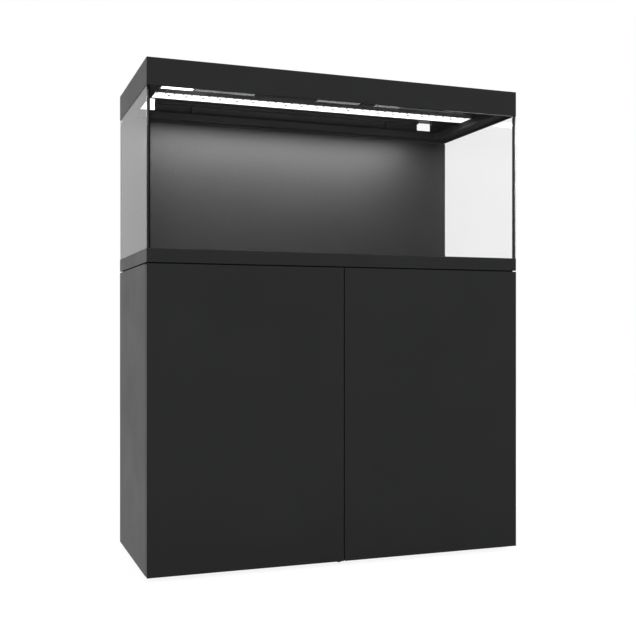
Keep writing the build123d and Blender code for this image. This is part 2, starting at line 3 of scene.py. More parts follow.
import bpy
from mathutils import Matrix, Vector


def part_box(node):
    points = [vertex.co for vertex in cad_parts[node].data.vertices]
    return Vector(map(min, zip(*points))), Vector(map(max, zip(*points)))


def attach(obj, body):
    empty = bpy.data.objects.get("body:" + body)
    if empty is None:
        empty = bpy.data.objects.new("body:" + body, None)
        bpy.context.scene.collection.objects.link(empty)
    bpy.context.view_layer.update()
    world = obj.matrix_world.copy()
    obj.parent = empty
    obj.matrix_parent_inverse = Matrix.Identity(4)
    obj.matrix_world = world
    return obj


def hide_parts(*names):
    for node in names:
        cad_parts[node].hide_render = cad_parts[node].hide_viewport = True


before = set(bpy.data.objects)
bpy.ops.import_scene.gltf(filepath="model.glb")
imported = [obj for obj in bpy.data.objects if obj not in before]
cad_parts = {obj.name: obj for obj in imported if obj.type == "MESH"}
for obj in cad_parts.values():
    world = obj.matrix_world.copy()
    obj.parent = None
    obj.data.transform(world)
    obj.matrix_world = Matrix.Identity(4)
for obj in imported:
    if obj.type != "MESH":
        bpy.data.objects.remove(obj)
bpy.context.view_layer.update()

# The studio: the camera stands where the photograph was taken from. A white sweep is behind the cabinet
# and the room in front of it is dim, so that flat black faces stay dark from the front and turn pale
# where they are seen at a slant. Lengths are in metres, turns in degrees and lamp powers in watts.
PICTURE_SIDE = 636
FOCAL_PIXELS = 959.6
HORIZON_PIXEL = 329
SENSOR_MILLIMETRES = 36.0
CAMERA_PLACE = (-0.8951, -2.4662, 0.598)
CAMERA_TURN = -20.06
scene = bpy.context.scene
scene.view_settings.view_transform = "Standard"
camera_data = bpy.data.cameras.new("camera")
camera_data.sensor_width = SENSOR_MILLIMETRES
camera_data.lens = SENSOR_MILLIMETRES * FOCAL_PIXELS / PICTURE_SIDE
camera_data.shift_y = (HORIZON_PIXEL - PICTURE_SIDE / 2) / PICTURE_SIDE
camera = bpy.data.objects.new("camera", camera_data)
camera.location = CAMERA_PLACE
camera.rotation_euler = (math.pi / 2, 0, math.radians(CAMERA_TURN))
scene.collection.objects.link(camera)
scene.camera = camera


def node(tree, kind, inputs=None, **settings):
    """A node with its settings and its inputs, each a plain value or the output that feeds it."""
    made = tree.nodes.new(kind)
    for name, value in settings.items():
        setattr(made, name, value)
    for name, value in (inputs or {}).items():
        if isinstance(value, bpy.types.NodeSocket):
            tree.links.new(value, made.inputs[name])
        else:
            made.inputs[name].default_value = value
    return made


def worked_out(tree, operation, *terms):
    """One step of arithmetic on plain values or outputs."""
    return node(tree, "ShaderNodeMath", dict(enumerate(terms)), operation=operation).outputs[0]


def mapped(tree, value, start, end, **settings):
    """A value brought from one range to another, each a pair."""
    ranges = {"From Min": start[0], "From Max": start[1], "To Min": end[0], "To Max": end[1]}
    return node(tree, "ShaderNodeMapRange", {"Value": value, **ranges}, **settings).outputs[0]


# The sky is white to the camera and dimmer as light on the pieces. In mirror images it goes from a dim room
# in front to the sweep behind
WHITE = (1, 1, 1, 1)
SEEN_LIGHT = 1.0
ROOM_LIGHT = 0.6
ROOM_TO_SWEEP = (-0.3, 0.3)
SHEEN = (0.1, 0.6)
MIRROR_DEPTH = 0.5
world = bpy.data.worlds.new("studio")
world.use_nodes = True
scene.world = world
sky = world.node_tree
sky.nodes.clear()
ray = node(sky, "ShaderNodeLightPath").outputs
facing = node(sky, "ShaderNodeSeparateXYZ", {0: node(sky, "ShaderNodeTexCoord").outputs["Generated"]})
sheen = mapped(sky, facing.outputs["Y"], ROOM_TO_SWEEP, SHEEN, interpolation_type="SMOOTHSTEP")
seen = worked_out(sky, "MAXIMUM", ray["Is Camera Ray"], ray["Is Transmission Ray"])
in_mirror = worked_out(sky, "GREATER_THAN", ray["Glossy Depth"], MIRROR_DEPTH)
lit = node(sky, "ShaderNodeMix", {0: seen, 2: ROOM_LIGHT, 3: SEEN_LIGHT})
level = node(sky, "ShaderNodeMix", {0: in_mirror, 2: lit.outputs[0], 3: sheen})
glow = node(sky, "ShaderNodeBackground", {"Color": WHITE, "Strength": level.outputs[0]})
node(sky, "ShaderNodeOutputWorld", {"Surface": glow.outputs[0]})

# The floor is white paper that takes a soft shadow and isn't mirrored in the pieces
FLOOR_HALF = 40.0
FLOOR_GLOW = 0.9
PAPER = (0.8, 0.8, 0.8, 1)
PAPER_SHADE = (0.17, 0.17, 0.17, 1)
floor_mesh = bpy.data.meshes.new("floor")
floor_corners = [(x * FLOOR_HALF, y * FLOOR_HALF, 0) for x, y in ((-1, -1), (1, -1), (1, 1), (-1, 1))]
floor_mesh.from_pydata(floor_corners, [], [(0, 1, 2, 3)])
floor = bpy.data.objects.new("floor", floor_mesh)
scene.collection.objects.link(floor)
floor.visible_glossy = False
floor.visible_transmission = False
paper = bpy.data.materials.new("white_paper")
paper.use_nodes = True
sheet = paper.node_tree
sheet.nodes.clear()
paper_glow = node(sheet, "ShaderNodeEmission", {"Strength": FLOOR_GLOW})
paper_face = node(sheet, "ShaderNodeBsdfDiffuse", {"Color": PAPER})
paper_shade = node(sheet, "ShaderNodeBsdfDiffuse", {"Color": PAPER_SHADE})
paper_seen = node(sheet, "ShaderNodeAddShader", {0: paper_glow.outputs[0], 1: paper_shade.outputs[0]})
paper_ray = node(sheet, "ShaderNodeLightPath")
paper_mix = node(
    sheet,
    "ShaderNodeMixShader",
    {0: paper_ray.outputs["Is Camera Ray"], 1: paper_face.outputs[0], 2: paper_seen.outputs[0]},
)
node(sheet, "ShaderNodeOutputMaterial", {"Surface": paper_mix.outputs[0]})
floor_mesh.materials.append(paper)

# Three large square lamps are aimed at the cabinet and leave no mirror image of themselves
LAMP_SIDE = 2.2
LAMP_AIM = Vector((0, 0, 0.6))
LAMPS = {
    "key_lamp": ((-2.4, -2.6, 3.2), 60),
    "fill_lamp": ((2.6, -1.6, 2.4), 30),
    "back_lamp": ((0.6, 3.0, 2.8), 40),
}
for lamp_name, (lamp_place, lamp_power) in LAMPS.items():
    lamp = bpy.data.objects.new(lamp_name, bpy.data.lights.new(lamp_name, "AREA"))
    lamp.data.size = LAMP_SIDE
    lamp.data.energy = lamp_power
    lamp.location = lamp_place
    lamp.rotation_euler = (LAMP_AIM - Vector(lamp_place)).to_track_quat("-Z", "Y").to_euler()
    lamp.visible_glossy = False
    scene.collection.objects.link(lamp)

# The carcass: sides, floor, top, divider, shelf and doors are black melamine-faced chipboard, sawn to size
# and edged with a plastic band. The pressed face has a fine pearl grain that keeps it satin, and the
# band's corners are painted a little paler, as rubbing from handling and as a painted highlight on the
# edges.


def group(name, inputs, outputs, kind="ShaderNodeTree"):
    """An empty node group with its named sockets, and its input and output nodes."""
    made = bpy.data.node_groups.new(name, kind)
    for socket, value in inputs.items():
        made.interface.new_socket(socket, in_out="INPUT", socket_type="NodeSocket" + value)
    for socket, value in outputs.items():
        made.interface.new_socket(socket, in_out="OUTPUT", socket_type="NodeSocket" + value)
    return made, made.nodes.new("NodeGroupInput"), made.nodes.new("NodeGroupOutput")


def on_piece(tree):
    """Places in the piece's own frame, for a pattern to sit on."""
    return node(tree, "ShaderNodeTexCoord").outputs["Object"]


def noise(tree, place, scale, detail):
    """A soft noise, with about as many lumps to the metre as its scale says."""
    return node(tree, "ShaderNodeTexNoise", {"Vector": place, "Scale": scale, "Detail": detail}).outputs[0]


# Grain, shared by boards and mouldings: a fine height for the bump and a slow drift over the whole face
GRAIN_DETAIL = 2.0
DRIFT_DETAIL = 3.0
DRIFT_RANGE = (0.3, 0.7)
grain, grain_in, grain_out = group(
    "fine_grain", {"Per Metre": "Float", "Drift": "Float"}, {"Height": "Float", "Drift": "Float"}
)
grain_height = noise(grain, on_piece(grain), grain_in.outputs["Per Metre"], GRAIN_DETAIL)
grain_drift = noise(grain, on_piece(grain), grain_in.outputs["Drift"], DRIFT_DETAIL)
grain.links.new(grain_height, grain_out.inputs["Height"])
grain.links.new(grain_drift, grain_out.inputs["Drift"])

# Rubbed edges with a painted highlight: where the surface turns within a small radius the colour is painted
# paler, broken up into patches, as wear and as a painted highlight. The paling starts and is full at these
# cosines between the flat and the rounded normal
EDGE_RADIUS = 0.0012
EDGE_SAMPLES = 4
EDGE_TURN = (0.98, 0.8)
EDGE_PATCHES = 55.0
PATCH_DETAIL = 3.0
edge, _, edge_out = group("edge_wear_and_sheen", {}, {"Mask": "Float"})
edge_round = node(edge, "ShaderNodeBevel", {"Radius": EDGE_RADIUS}, samples=EDGE_SAMPLES).outputs[0]
edge_flat = node(edge, "ShaderNodeNewGeometry").outputs["Normal"]
edge_turn = node(edge, "ShaderNodeVectorMath", {0: edge_round, 1: edge_flat}, operation="DOT_PRODUCT")
edge_line = mapped(edge, edge_turn.outputs["Value"], EDGE_TURN, (0.0, 1.0))
edge_noise = noise(edge, on_piece(edge), EDGE_PATCHES, PATCH_DETAIL)
edge.links.new(worked_out(edge, "MULTIPLY", edge_line, edge_noise), edge_out.inputs["Mask"])


def plain(name, values):
    """A material with one Principled shader that has these plain values."""
    material = bpy.data.materials.new(name)
    material.use_nodes = True
    shader = material.node_tree.nodes["Principled BSDF"]
    for socket, value in values.items():
        shader.inputs[socket].default_value = value
    return material


def feed(material, socket, output):
    """Let an output drive one input of a material's Principled shader."""
    tree = material.node_tree
    tree.links.new(output, tree.nodes["Principled BSDF"].inputs[socket])


def emboss(material, height, depth):
    """Bump a material's surface by a height, to a depth in metres."""
    bump = node(material.node_tree, "ShaderNodeBump", {"Distance": depth, "Height": height})
    feed(material, "Normal", bump.outputs[0])


def tint(grey, warmth=0.0):
    """A near-neutral colour, with a little more red and less blue where it is warm."""
    return (grey * (1 + warmth), grey, grey * (1 - warmth), 1)


def blended(tree, mask, first, second):
    """A colour that goes from the first to the second by a mask."""
    mix = node(tree, "ShaderNodeMix", {0: mask, 6: first, 7: second}, data_type="RGBA")
    return mix.outputs[2]


def grained(name, dark, pale, rough, per_metre, depth, values=None, drift=7.0, worn_edge_and_sheen=None):
    """A material with a fine grain whose colour and gloss drift slowly, and with edges painted paler, as
    wear and a painted highlight, if asked.
    """
    material = plain(name, values or {})
    tree = material.node_tree
    texture = node(tree, "ShaderNodeGroup", {"Per Metre": per_metre, "Drift": drift}, node_tree=grain)
    colour = blended(tree, texture.outputs["Drift"], dark, pale)
    # Edges are painted paler here: partly wear, partly a painted highlight
    if worn_edge_and_sheen:
        colour = blended(tree, node(tree, "ShaderNodeGroup", node_tree=edge).outputs["Mask"], colour, worn_edge_and_sheen)
    feed(material, "Base Color", colour)
    feed(material, "Roughness", mapped(tree, texture.outputs["Drift"], DRIFT_RANGE, rough))
    emboss(material, texture.outputs["Height"], depth)
    return material


def dress(material, *names):
    """Give CAD nodes a finish."""
    for name in names:
        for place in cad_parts[name].material_slots:
            place.material = material


SATIN_BLACK = {
    "dark": tint(0.0195, -0.02),
    "pale": tint(0.0235, -0.02),
    "rough": (0.38, 0.44),
    "depth": 0.00003,
    "values": {"Specular IOR Level": 0.58},
    # The paler edge colour is wear and a painted highlight
    "worn_edge_and_sheen": tint(0.04),
}
board_black = grained("board_black", per_metre=1400, **SATIN_BLACK)
dress(board_black, "side_panel_left", "side_panel_right", "floor_panel", "top_panel", "centre_divider")

# The back: a thin hardboard sheet slid into grooves, lacquered black on its faces. The two sawn ports for
# hoses and cables show the brown fibre of the board in their edges.
hardboard = grained(
    "hardboard",
    dark=tint(0.013),
    pale=tint(0.017),
    rough=(0.5, 0.62),
    per_metre=420,
    depth=0.00008,
    values={"Specular IOR Level": 0.4},
)


def along(tree, axis):
    """How squarely the surface faces along one of the object's axes, from 0 to 1."""
    parts = node(tree, "ShaderNodeSeparateXYZ", {0: node(tree, "ShaderNodeTexCoord").outputs["Normal"]})
    return worked_out(tree, "ABSOLUTE", parts.outputs[axis])


FIBRE_DARK = (0.09, 0.05, 0.028, 1)
FIBRE_PALE = (0.17, 0.105, 0.06, 1)
FIBRES = 700.0
FIBRE_DETAIL = 4.0
back_tree = hardboard.node_tree
fibre_noise = noise(back_tree, on_piece(back_tree), FIBRES, FIBRE_DETAIL)
fibre = blended(back_tree, fibre_noise, FIBRE_DARK, FIBRE_PALE)
lacquer = back_tree.nodes["Principled BSDF"].inputs["Base Color"].links[0].from_socket
feed(hardboard, "Base Color", blended(back_tree, along(back_tree, "Y"), fibre, lacquer))
dress(hardboard, "back_panel")

# The corner blocks: moulded plastic wedges that pull the floor and top panel against the sides and the
# divider. Two zinc-plated screws go through the slanted face of each.
block_plastic = grained(
    "block_plastic",
    dark=tint(0.045),
    pale=tint(0.056),
    rough=(0.46, 0.6),
    per_metre=1900,
    depth=0.00004,
    # The paler edge colour is wear and a painted highlight
    worn_edge_and_sheen=tint(0.09),
)
dress(block_plastic, "corner_blocks")
zinc_steel = grained(
    "zinc_steel",
    dark=(0.5, 0.51, 0.53, 1),
    pale=(0.6, 0.6, 0.6, 1),
    rough=(0.26, 0.44),
    per_metre=900,
    depth=0.00002,
    values={"Metallic": 1.0},
    drift=160.0,
)

# Turned pieces: a round body with a crowned end and a shallow recess, set at points that each say where
# their head faces
TURNED_SIDES = 20
CROWN_STEP = 0.86
CROWN_TOP = 0.5
RECESS_FLOOR = 0.4
SHARP_TURN = 32.0
WELD_DISTANCE = 0.000001
turned, turned_in, turned_out = group(
    "turned_pieces",
    {
        "Places": "Geometry",
        "Radius": "Float",
        "Height": "Float",
        "Crown": "Float",
        "Recess": "Float",
        "Finish": "Material",
    },
    {"Pieces": "Geometry"},
    "GeometryNodeTree",
)


def lifted(mesh, level):
    """A mesh raised to a level along the piece's axis."""
    place = node(turned, "ShaderNodeCombineXYZ", {"Z": level}).outputs[0]
    return node(turned, "GeometryNodeTransform", {"Geometry": mesh, "Translation": place}).outputs[0]


def skirt(low, high, depth, level):
    """A bare cone wall between two radii."""
    sizes = {"Vertices": TURNED_SIDES, "Radius Bottom": low, "Radius Top": high, "Depth": depth}
    return lifted(node(turned, "GeometryNodeMeshCone", sizes, fill_type="NONE").outputs["Mesh"], level)


def disc(radius, level):
    """A round flat face."""
    sizes = {"Vertices": TURNED_SIDES, "Radius": radius}
    return lifted(node(turned, "GeometryNodeMeshCircle", sizes, fill_type="NGON").outputs[0], level)


def turned_over(mesh):
    """The same faces, seen from the other side."""
    return node(turned, "GeometryNodeFlipFaces", {0: mesh}).outputs[0]


def completed(tree, instances, finish, pieces):
    """End a tree in real meshes with a finish, which are its pieces."""
    realized = node(tree, "GeometryNodeRealizeInstances", {0: instances})
    finished = node(tree, "GeometryNodeSetMaterial", {"Geometry": realized.outputs[0], "Material": finish})
    tree.links.new(finished.outputs[0], pieces)


radius, height = turned_in.outputs["Radius"], turned_in.outputs["Height"]
crown, recess = turned_in.outputs["Crown"], turned_in.outputs["Recess"]
half_crown = worked_out(turned, "MULTIPLY", crown, 0.5)
shoulder = worked_out(turned, "MULTIPLY", radius, CROWN_STEP)
rim = worked_out(turned, "MULTIPLY", radius, CROWN_TOP)
socket = worked_out(turned, "MULTIPLY", radius, RECESS_FLOOR)
crown_start = worked_out(turned, "SUBTRACT", height, crown)
crown_middle = worked_out(turned, "SUBTRACT", height, half_crown)
recess_floor = worked_out(turned, "SUBTRACT", height, recess)
shells = node(turned, "GeometryNodeJoinGeometry")
for shell in (
    turned_over(disc(radius, 0.0)),
    skirt(radius, radius, crown_start, 0.0),
    skirt(radius, shoulder, half_crown, crown_start),
    skirt(shoulder, rim, half_crown, crown_middle),
    turned_over(skirt(socket, rim, recess, recess_floor)),
    disc(socket, recess_floor),
):
    turned.links.new(shell, shells.inputs[0])
weld = {"Geometry": shells.outputs[0], "Distance": WELD_DISTANCE}
welded = node(turned, "GeometryNodeMergeByDistance", weld)
smooth = node(turned, "GeometryNodeSetShadeSmooth", {"Geometry": welded.outputs[0], "Shade Smooth": True})
edge_angle = node(turned, "GeometryNodeInputMeshEdgeAngle").outputs["Unsigned Angle"]
turns = {0: edge_angle, 1: math.radians(SHARP_TURN)}
is_sharp = node(turned, "FunctionNodeCompare", turns, operation="GREATER_THAN")
creased = node(
    turned,
    "GeometryNodeSetShadeSmooth",
    {"Geometry": smooth.outputs[0], "Selection": is_sharp.outputs[0], "Shade Smooth": False},
    domain="EDGE",
)
head_way = node(turned, "GeometryNodeInputNamedAttribute", {"Name": "facing"}, data_type="FLOAT_VECTOR")
head_turn = node(turned, "FunctionNodeAlignRotationToVector", {"Vector": head_way.outputs[0]}, axis="Z")
placed = node(
    turned,
    "GeometryNodeInstanceOnPoints",
    {
        "Points": turned_in.outputs["Places"],
        "Instance": creased.outputs[0],
        "Rotation": head_turn.outputs[0],
    },
)
completed(turned, placed.outputs[0], turned_in.outputs["Finish"], turned_out.inputs["Pieces"])


def grown(name, tree, mesh, values, body):
    """The plain mesh that a tree makes from points, riding on a body with a slot's finish."""
    piece = bpy.data.objects.new(name, mesh)
    scene.collection.objects.link(piece)
    modifier = piece.modifiers.new(tree.name, "NODES")
    modifier.node_group = tree
    for item in tree.interface.items_tree:
        if item.name in values:
            modifier[item.identifier] = values[item.name]
    shown = piece.evaluated_get(bpy.context.evaluated_depsgraph_get())
    result = bpy.data.meshes.new_from_object(shown)
    piece.modifiers.remove(modifier)
    piece.data = result
    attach(piece, body)
    return piece


def turned_set(name, body, finish, places, sizes):
    """Turned pieces at these places, each a point and the way that its head faces."""
    mesh = bpy.data.meshes.new(name)
    mesh.from_pydata([point for point, _ in places], [], [])
    ways = mesh.attributes.new("facing", "FLOAT_VECTOR", "POINT")
    for value, (_, way) in zip(ways.data, places):
        value.vector = way
    return grown(name, turned, mesh, {**sizes, "Finish": finish}, body)


X, Y, Z = range(3)


def mirrored(places, axis, about=0.0):
    """These places and their twins across a plane square to one axis."""
    twins = []
    for point, way in places:
        point, way = list(point), list(way)
        point[axis] = 2 * about - point[axis]
        way[axis] = -way[axis]
        twins.append((tuple(point), tuple(way)))
    return places + twins


RIGHT_AND_DOWN = (1, 0, -1)
LEFT_AND_DOWN = (-1, 0, -1)
BLOCK_SLANT = 0.0125
BLOCK_SCREW_INSETS = (0.01, 0.03)
BLOCK_SCREW = {"Radius": 0.0032, "Height": 0.0018, "Crown": 0.0009, "Recess": 0.0007}
block_low, block_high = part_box("corner_blocks")
cabinet_middle = (block_low.z + block_high.z) / 2
slant_level = block_high.z - BLOCK_SLANT
side_slant_x = block_low.x + BLOCK_SLANT
divider_slant_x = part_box("centre_divider")[0].x - BLOCK_SLANT
block_screws = []
for inset in BLOCK_SCREW_INSETS:
    block_screws.append(((side_slant_x, block_low.y + inset, slant_level), RIGHT_AND_DOWN))
    block_screws.append(((divider_slant_x, block_low.y + inset, slant_level), LEFT_AND_DOWN))
block_screws = mirrored(mirrored(mirrored(block_screws, X), Y), Z, cabinet_middle)
turned_set("block_screws", "stand", zinc_steel, block_screws, BLOCK_SCREW)

# The glides: six moulded feet with a domed sole, nailed under the floor panel near its corners and at the
# middle of its long edges. They lift the cabinet about a centimetre off the floor.
glide_black = grained(
    "glide_black",
    dark=tint(0.016),
    pale=tint(0.024),
    rough=(0.5, 0.66),
    per_metre=1100,
    depth=0.00006,
)
DOWN = (0, 0, -1)
GLIDE_DOME = 0.003
GLIDE_NAIL = 0.001
GLIDE_RADIUS = 0.008
CORNER_GLIDE_STEP = 0.02
glide_low, glide_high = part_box("glides")
glide_height = glide_high.z - glide_low.z
glide_x = glide_low.x + GLIDE_RADIUS
glide_y = glide_low.y + GLIDE_RADIUS
corner_glides = [((glide_x, glide_y + CORNER_GLIDE_STEP, glide_high.z), DOWN)]
front_glides = mirrored(corner_glides, X) + [((0, glide_y, glide_high.z), DOWN)]
glides = turned_set(
    "turned_glides",
    "stand",
    glide_black,
    mirrored(front_glides, Y),
    {"Radius": GLIDE_RADIUS, "Height": glide_height, "Crown": GLIDE_DOME, "Recess": GLIDE_NAIL},
)
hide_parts("glides")

# The shelf: a loose board of the carcass material in the right-hand bay. It lies on four plain zinc-plated
# pins that are pushed into holes in the divider and the side.
dress(board_black, "shelf")
dress(zinc_steel, "shelf_pins")

# The hinges: stamped leaves in black oxide, sunk into the carcass edges, each with a riveted steel pin that
# turns in a nylon bush pressed into the door. Two countersunk screws hold a leaf.
oxide_steel = grained(
    "oxide_steel",
    dark=tint(0.02),
    pale=tint(0.05, 0.03),
    rough=(0.34, 0.52),
    per_metre=700,
    depth=0.00003,
    values={"Metallic": 0.85},
    drift=90.0,
    # The paler edge colour is wear and a painted highlight
    worn_edge_and_sheen=tint(0.22),
)
dress(oxide_steel, "hinge_leaves")
dress(zinc_steel, "hinge_pins")
bush_nylon = grained(
    "bush_nylon",
    dark=(0.58, 0.58, 0.53, 1),
    pale=(0.68, 0.68, 0.64, 1),
    rough=(0.36, 0.48),
    per_metre=1300,
    depth=0.00003,
    values={"Subsurface Weight": 0.15, "Subsurface Radius": (0.002, 0.002, 0.0015)},
    drift=60.0,
)
dress(bush_nylon, "hinge_bushes_left", "hinge_bushes_right")
LEAF_SCREW_INSETS = (0.028, 0.044)
LEAF_SCREW_BACK = 0.005
LEAF_SCREW = {"Radius": 0.0026, "Height": 0.0004, "Crown": 0.0002, "Recess": 0.0003}
leaf_low, leaf_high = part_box("hinge_leaves")
leaf_y = leaf_high.y - LEAF_SCREW_BACK
leaf_screws = [((leaf_low.x + inset, leaf_y, leaf_low.z), DOWN) for inset in LEAF_SCREW_INSETS]
leaf_screws = mirrored(mirrored(leaf_screws, X), Z, (leaf_low.z + leaf_high.z) / 2)
turned_set("leaf_screws", "stand", zinc_steel, leaf_screws, LEAF_SCREW)

# The push latches: grey moulded cartridges screwed under the top panel, with a sprung plunger that meets a
# zinc-plated strike on the back of each door.
latch_grey = grained(
    "latch_grey",
    dark=tint(0.145),
    pale=tint(0.175),
    rough=(0.4, 0.54),
    per_metre=1500,
    depth=0.00004,
    drift=25.0,
    # The paler edge colour is wear and a painted highlight
    worn_edge_and_sheen=tint(0.26),
)
dress(latch_grey, "push_latches", "plunger_left", "plunger_right")
dress(zinc_steel, "strike_left", "strike_right")
LATCH_PLATE = 0.003
LATCH_SCREW_SIDE = 0.0045
LATCH_SCREW_END = 0.011
LATCH_SCREW = {"Radius": 0.0031, "Height": 0.0017, "Crown": 0.0009, "Recess": 0.0007}
latch_low, latch_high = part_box("push_latches")
latch_x = latch_low.x + LATCH_SCREW_SIDE
latch_level = latch_high.z - LATCH_PLATE
latch_ends = (latch_low.y + LATCH_SCREW_END, latch_high.y - LATCH_SCREW_END)
latch_screws = mirrored([((latch_x, y, latch_level), DOWN) for y in latch_ends], X)
turned_set("latch_screws", "stand", zinc_steel, latch_screws, LATCH_SCREW)
BACKWARD = (0, 1, 0)
STRIKE_SCREW_END = 0.0035
STRIKE_SCREW = {"Radius": 0.0021, "Height": 0.0007, "Crown": 0.0004, "Recess": 0.0004}
for side in ("left", "right"):
    strike_low, strike_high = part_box("strike_" + side)
    strike_x = (strike_low.x + strike_high.x) / 2
    strike_levels = (strike_low.z + STRIKE_SCREW_END, strike_high.z - STRIKE_SCREW_END)
    strike_screws = [((strike_x, strike_high.y, level), BACKWARD) for level in strike_levels]
    body = side + "_door"
    turned_set("strike_screws_" + side, body, zinc_steel, strike_screws, STRIKE_SCREW)

# The bumpers: soft clear domes with a sticky back, on the carcass front near the top and bottom of each
# door's free edge. They keep a closing door quiet.
bumper_rubber = grained(
    "bumper_rubber",
    dark=(0.52, 0.52, 0.49, 1),
    pale=(0.6, 0.6, 0.57, 1),
    rough=(0.18, 0.3),
    per_metre=500,
    depth=0.00002,
    values={"Transmission Weight": 0.35, "IOR": 1.4},
    drift=120.0,
)
FORWARD = (0, -1, 0)
BUMPER_RADIUS = 0.004
BUMPER_DOME = 0.0012
bumper_low, bumper_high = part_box("door_bumpers")
bumper_height = bumper_high.y - bumper_low.y
bumper_spot = (bumper_high.x - BUMPER_RADIUS, bumper_high.y, bumper_high.z - BUMPER_RADIUS)
bumpers = turned_set(
    "domed_bumpers",
    "stand",
    bumper_rubber,
    mirrored(mirrored([(bumper_spot, FORWARD)], X), Z, (bumper_low.z + bumper_high.z) / 2),
    {"Radius": BUMPER_RADIUS, "Height": bumper_height, "Crown": BUMPER_DOME, "Recess": 0.0},
)
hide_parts("door_bumpers")

# The doors: two plain full-overlay boards of the carcass material, without handles. They hang on the sunk
# pivots and are pushed to open.
dress(board_black, "door_left", "door_right")

# The mat: a thin sheet of closed-cell foam that evens out the load between cabinet and tank. Its cut edge
# shows the cells.
FOAM_CELLS = 620.0
FOAM_CELL_DEPTH = 0.0004
foam = grained(
    "foam_black",
    dark=tint(0.006),
    pale=tint(0.012),
    rough=(0.88, 0.97),
    per_metre=900,
    depth=0.0002,
    values={"Specular IOR Level": 0.2},
)
foam_tree = foam.node_tree
foam_cells = node(foam_tree, "ShaderNodeTexVoronoi", {"Vector": on_piece(foam_tree), "Scale": FOAM_CELLS})
emboss(foam, foam_cells.outputs["Distance"], FOAM_CELL_DEPTH)
dress(foam, "support_mat")

# The base frame: one black moulding with a low wall round the tank's foot and a flange under the glass. Its
# spark-eroded texture is a little finer than the boards' grain.
frame_black = grained("frame_black", per_metre=2400, **SATIN_BLACK)
dress(frame_black, "base_frame")

# The tank: five panes of float glass, cut, ground and glued edge to face. The broad faces are clear, and
# the ground edges are dull and show the dark grey-green of the glass.
GLASS_CLEAR = (0.995, 0.996, 0.995, 1)
GLASS_EDGE = (0.075, 0.083, 0.08, 1)
EDGE_DULL = 0.5
# Less than real glass has, so that the panes mirror a little less
GLASS_IOR = 1.34
PANES_BY_AXIS = {
    "X": ("left_pane", "right_pane"),
    "Y": ("front_pane", "back_pane"),
    "Z": ("bottom_pane",),
}


def see_through(name, values):
    """A smooth clear material that lets lamp light through to what is behind it."""
    material = plain(name, {"Transmission Weight": 1.0, "Roughness": 0.0, **values})
    tree = material.node_tree
    shader = tree.nodes["Principled BSDF"]
    light_path = node(tree, "ShaderNodeLightPath")
    through = node(tree, "ShaderNodeBsdfTransparent", {"Color": values["Base Color"]})
    mix = node(
        tree,
        "ShaderNodeMixShader",
        {0: light_path.outputs["Is Shadow Ray"], 1: shader.outputs[0], 2: through.outputs[0]},
    )
    tree.links.new(mix.outputs[0], tree.nodes["Material Output"].inputs["Surface"])
    return material


for axis, panes in PANES_BY_AXIS.items():
    pane_values = {"Base Color": GLASS_CLEAR, "IOR": GLASS_IOR}
    pane_glass = see_through("pane_glass_" + axis.lower(), pane_values)
    pane_tree = pane_glass.node_tree
    pane_face = along(pane_tree, axis)
    feed(pane_glass, "Base Color", blended(pane_tree, pane_face, GLASS_EDGE, GLASS_CLEAR))
    feed(pane_glass, "Roughness", mapped(pane_tree, pane_face, (0.0, 1.0), (EDGE_DULL, 0.0)))
    dress(pane_glass, *panes)

# The seams: a bead of black silicone, drawn along every inner edge of the tank and smoothed with a finger.
# It glues the panes together and keeps the water in.
silicone_black = grained(
    "silicone_black",
    dark=tint(0.003),
    pale=tint(0.004),
    rough=(0.5, 0.6),
    per_metre=60,
    depth=0.0003,
    drift=20.0,
)
dress(silicone_black, "silicone_seams")

# The background: a black panel with a satin, faintly pebbled face, stuck to the back pane. It mirrors the
# light bar softly, which makes the glow on its upper half.
background_black = grained(
    "background_black",
    dark=tint(0.003),
    pale=tint(0.004),
    rough=(0.47, 0.49),
    per_metre=160,
    depth=0.0003,
    values={"Specular IOR Level": 0.5},
)
dress(background_black, "background_panel")

# The top frame: a black moulding glued on the panes, with a wide ledge at each end for the light bar. It is
# left matt, so that it doesn't mirror the lamp.
rail_black = grained(
    "rail_black",
    dark=tint(0.013),
    pale=tint(0.016),
    rough=(0.66, 0.76),
    per_metre=2400,
    depth=0.00003,
    values={"Specular IOR Level": 0.2},
)
dress(rail_black, "top_frame")

# The light bar: a finned extrusion in grey anodised aluminium with its die lines, a white circuit board
# with chips, a lit white cover with a notched edge, and moulded ends that stand on the ledges.
DIE_LINES = (3.0, 1500.0, 1500.0)
DIE_LINE_DETAIL = 2.0
DIE_LINE_DEPTH = 0.00004
anodised = grained(
    "anodised",
    dark=tint(0.1),
    pale=tint(0.13, 0.02),
    rough=(0.32, 0.44),
    per_metre=900,
    depth=0.00002,
    values={"Metallic": 0.2},
    drift=30.0,
)
bar_tree = anodised.node_tree
bar_drawn = node(bar_tree, "ShaderNodeMapping", {"Vector": on_piece(bar_tree), "Scale": DIE_LINES})
emboss(anodised, noise(bar_tree, bar_drawn.outputs[0], 1.0, DIE_LINE_DETAIL), DIE_LINE_DEPTH)
dress(anodised, "light_housing")

LED_PITCH = 0.0453
MASK_WHITE = (0.82, 0.83, 0.83, 1)
TRACK_GREY = (0.66, 0.68, 0.66, 1)
TRACK_WIDTH = 0.0006
TRACK_ROW = 0.008
circuit = grained(
    "circuit",
    dark=MASK_WHITE,
    pale=MASK_WHITE,
    rough=(0.3, 0.4),
    per_metre=800,
    depth=0.00001,
)
circuit_tree = circuit.node_tree
tracks = node(
    circuit_tree,
    "ShaderNodeTexBrick",
    {
        "Vector": on_piece(circuit_tree),
        "Color1": MASK_WHITE,
        "Color2": MASK_WHITE,
        "Mortar": TRACK_GREY,
        "Scale": 1.0,
        "Mortar Size": TRACK_WIDTH,
        "Brick Width": LED_PITCH,
        "Row Height": TRACK_ROW,
    },
)
feed(circuit, "Base Color", tracks.outputs[0])
dress(circuit, "led_board")

